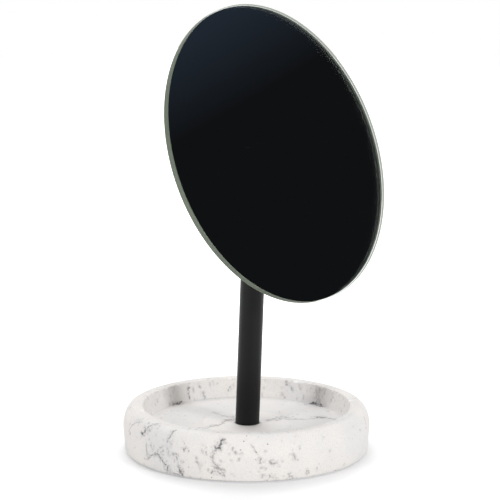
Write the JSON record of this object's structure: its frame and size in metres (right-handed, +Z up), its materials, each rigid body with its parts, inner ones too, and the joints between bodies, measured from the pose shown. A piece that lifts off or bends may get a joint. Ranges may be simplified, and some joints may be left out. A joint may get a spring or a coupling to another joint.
{
  "type": "free-standing vanity mirror",
  "caption": "Round frameless cosmetic mirror on a slim round post, standing in a round cast-stone tray with a thick rounded rim; the mirror tilts on a friction joint.",
  "frame": {"origin": "centre of the tray's underside, on the table", "axes": "+Z up, -Y the way the mirror faces, X along the level tilt axis"},
  "size_m": [0.2, 0.1664, 0.2987],
  "materials": {
    "cast_stone": "matt off-white cast stone with fine pits and grey veins",
    "powder_coat": "fine-grained satin black powder coat on steel",
    "zinc_steel": "zinc-plated steel",
    "fibre": "vulcanised fibre",
    "nylon": "nylon",
    "foam": "dense black foam tape",
    "pad_foam": "pale grey closed-cell foam",
    "silver": "silver coat with black backing paint and safety film",
    "glass": "clear float glass with a polished edge"
  },
  "bodies": {
    "stand": {"tray": "cast_stone", "base_pad": "pad_foam", "base_washer": "zinc_steel", "base_bolt": "zinc_steel", "post_foot_insert": "zinc_steel", "post_tube": "powder_coat", "post_head": "powder_coat"},
    "mirror": {"mirror_glass": "glass", "mirror_backing": "silver", "mounting_tape": "foam", "back_plate": "powder_coat", "tilt_bracket": "powder_coat", "bracket_rivets": "zinc_steel", "pivot_screw": "zinc_steel", "friction_washers": "fibre", "disc_spring": "zinc_steel", "lock_nut": "zinc_steel", "nut_ring": "nylon"}
  },
  "joints": [
    {"name": "mirror_tilt", "type": "hinge", "parent": "stand", "child": "mirror", "pos_m": [0, -0.00859, 0.19681], "axis": [-1, 0, 0], "range_deg": [-25, 70]}
  ]
}
